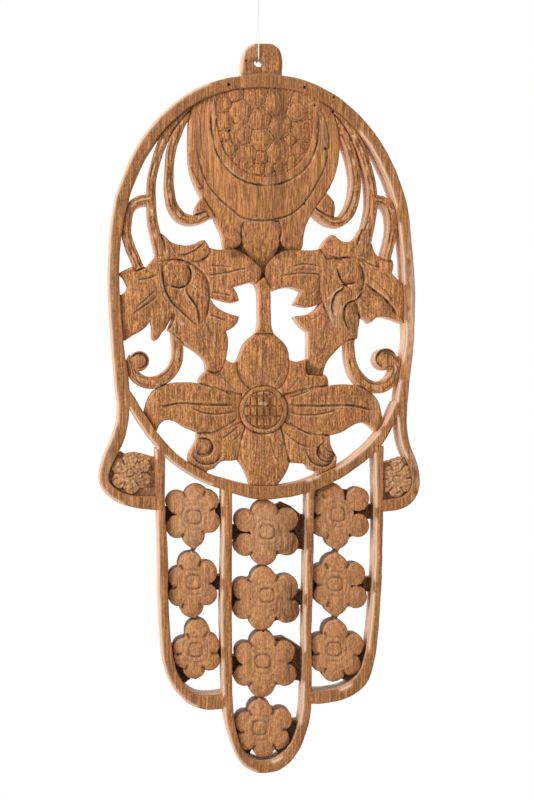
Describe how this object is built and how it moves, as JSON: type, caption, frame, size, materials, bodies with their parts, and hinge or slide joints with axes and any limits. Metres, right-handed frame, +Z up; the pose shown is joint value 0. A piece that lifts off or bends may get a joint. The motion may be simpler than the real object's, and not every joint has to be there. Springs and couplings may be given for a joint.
{
  "type": "hamsa hand ornament",
  "caption": "Flat carved wooden hamsa hand wall hanging with pierced vines, a fruit, a lotus and rosettes, on a thin hanging thread.",
  "frame": {"origin": "where the hook bears, under the knot of the hanging thread", "axes": "+Z up, +X to the right seen from the front, +Y towards the wall, carved front facing -Y"},
  "size_m": [0.1325, 0.015, 0.324],
  "materials": {
    "carved_wood": "hand-carved, oiled, satin",
    "thread": "twisted thread"
  },
  "bodies": {
    "thread": {"hanging_thread": "thread", "thread_knot": "thread"},
    "board": {"outer_rim": "carved_wood", "hanging_tab": "carved_wood", "palm_arc": "carved_wood", "left_finger_frame": "carved_wood", "middle_finger_frame": "carved_wood", "right_finger_frame": "carved_wood", "left_thumb": "carved_wood", "right_thumb": "carved_wood", "pomegranate_husk": "carved_wood", "pomegranate_crescent": "carved_wood", "pomegranate_seeds": "carved_wood", "pomegranate_calyx": "carved_wood", "left_vine": "carved_wood", "right_vine": "carved_wood", "left_tendril": "carved_wood", "right_tendril": "carved_wood", "left_curled_leaf": "carved_wood", "right_curled_leaf": "carved_wood", "left_sepal": "carved_wood", "right_sepal": "carved_wood", "left_inner_leaf": "carved_wood", "right_inner_leaf": "carved_wood", "left_long_leaf": "carved_wood", "right_long_leaf": "carved_wood", "left_outer_leaf": "carved_wood", "right_outer_leaf": "carved_wood", "left_bud": "carved_wood", "right_bud": "carved_wood", "left_scroll": "carved_wood", "right_scroll": "carved_wood", "lotus_stem": "carved_wood", "lotus_top_petal": "carved_wood", "lotus_left_sepal": "carved_wood", "lotus_right_sepal": "carved_wood", "lotus_left_petal": "carved_wood", "lotus_right_petal": "carved_wood", "lotus_left_curl": "carved_wood", "lotus_right_curl": "carved_wood", "lotus_bottom_petal": "carved_wood", "lotus_boss": "carved_wood", "left_rosette_1": "carved_wood", "left_rosette_2": "carved_wood", "left_rosette_3": "carved_wood", "middle_rosette_1": "carved_wood", "middle_rosette_2": "carved_wood", "middle_rosette_3": "carved_wood", "middle_rosette_4": "carved_wood", "right_rosette_1": "carved_wood", "right_rosette_2": "carved_wood", "right_rosette_3": "carved_wood"}
  },
  "joints": [
    {"name": "board_swing", "type": "hinge", "parent": "thread", "child": "board", "pos_m": [0, 0, -0.0272], "axis": [0, 1, 0], "range_deg": [-15, 15]}
  ]
}
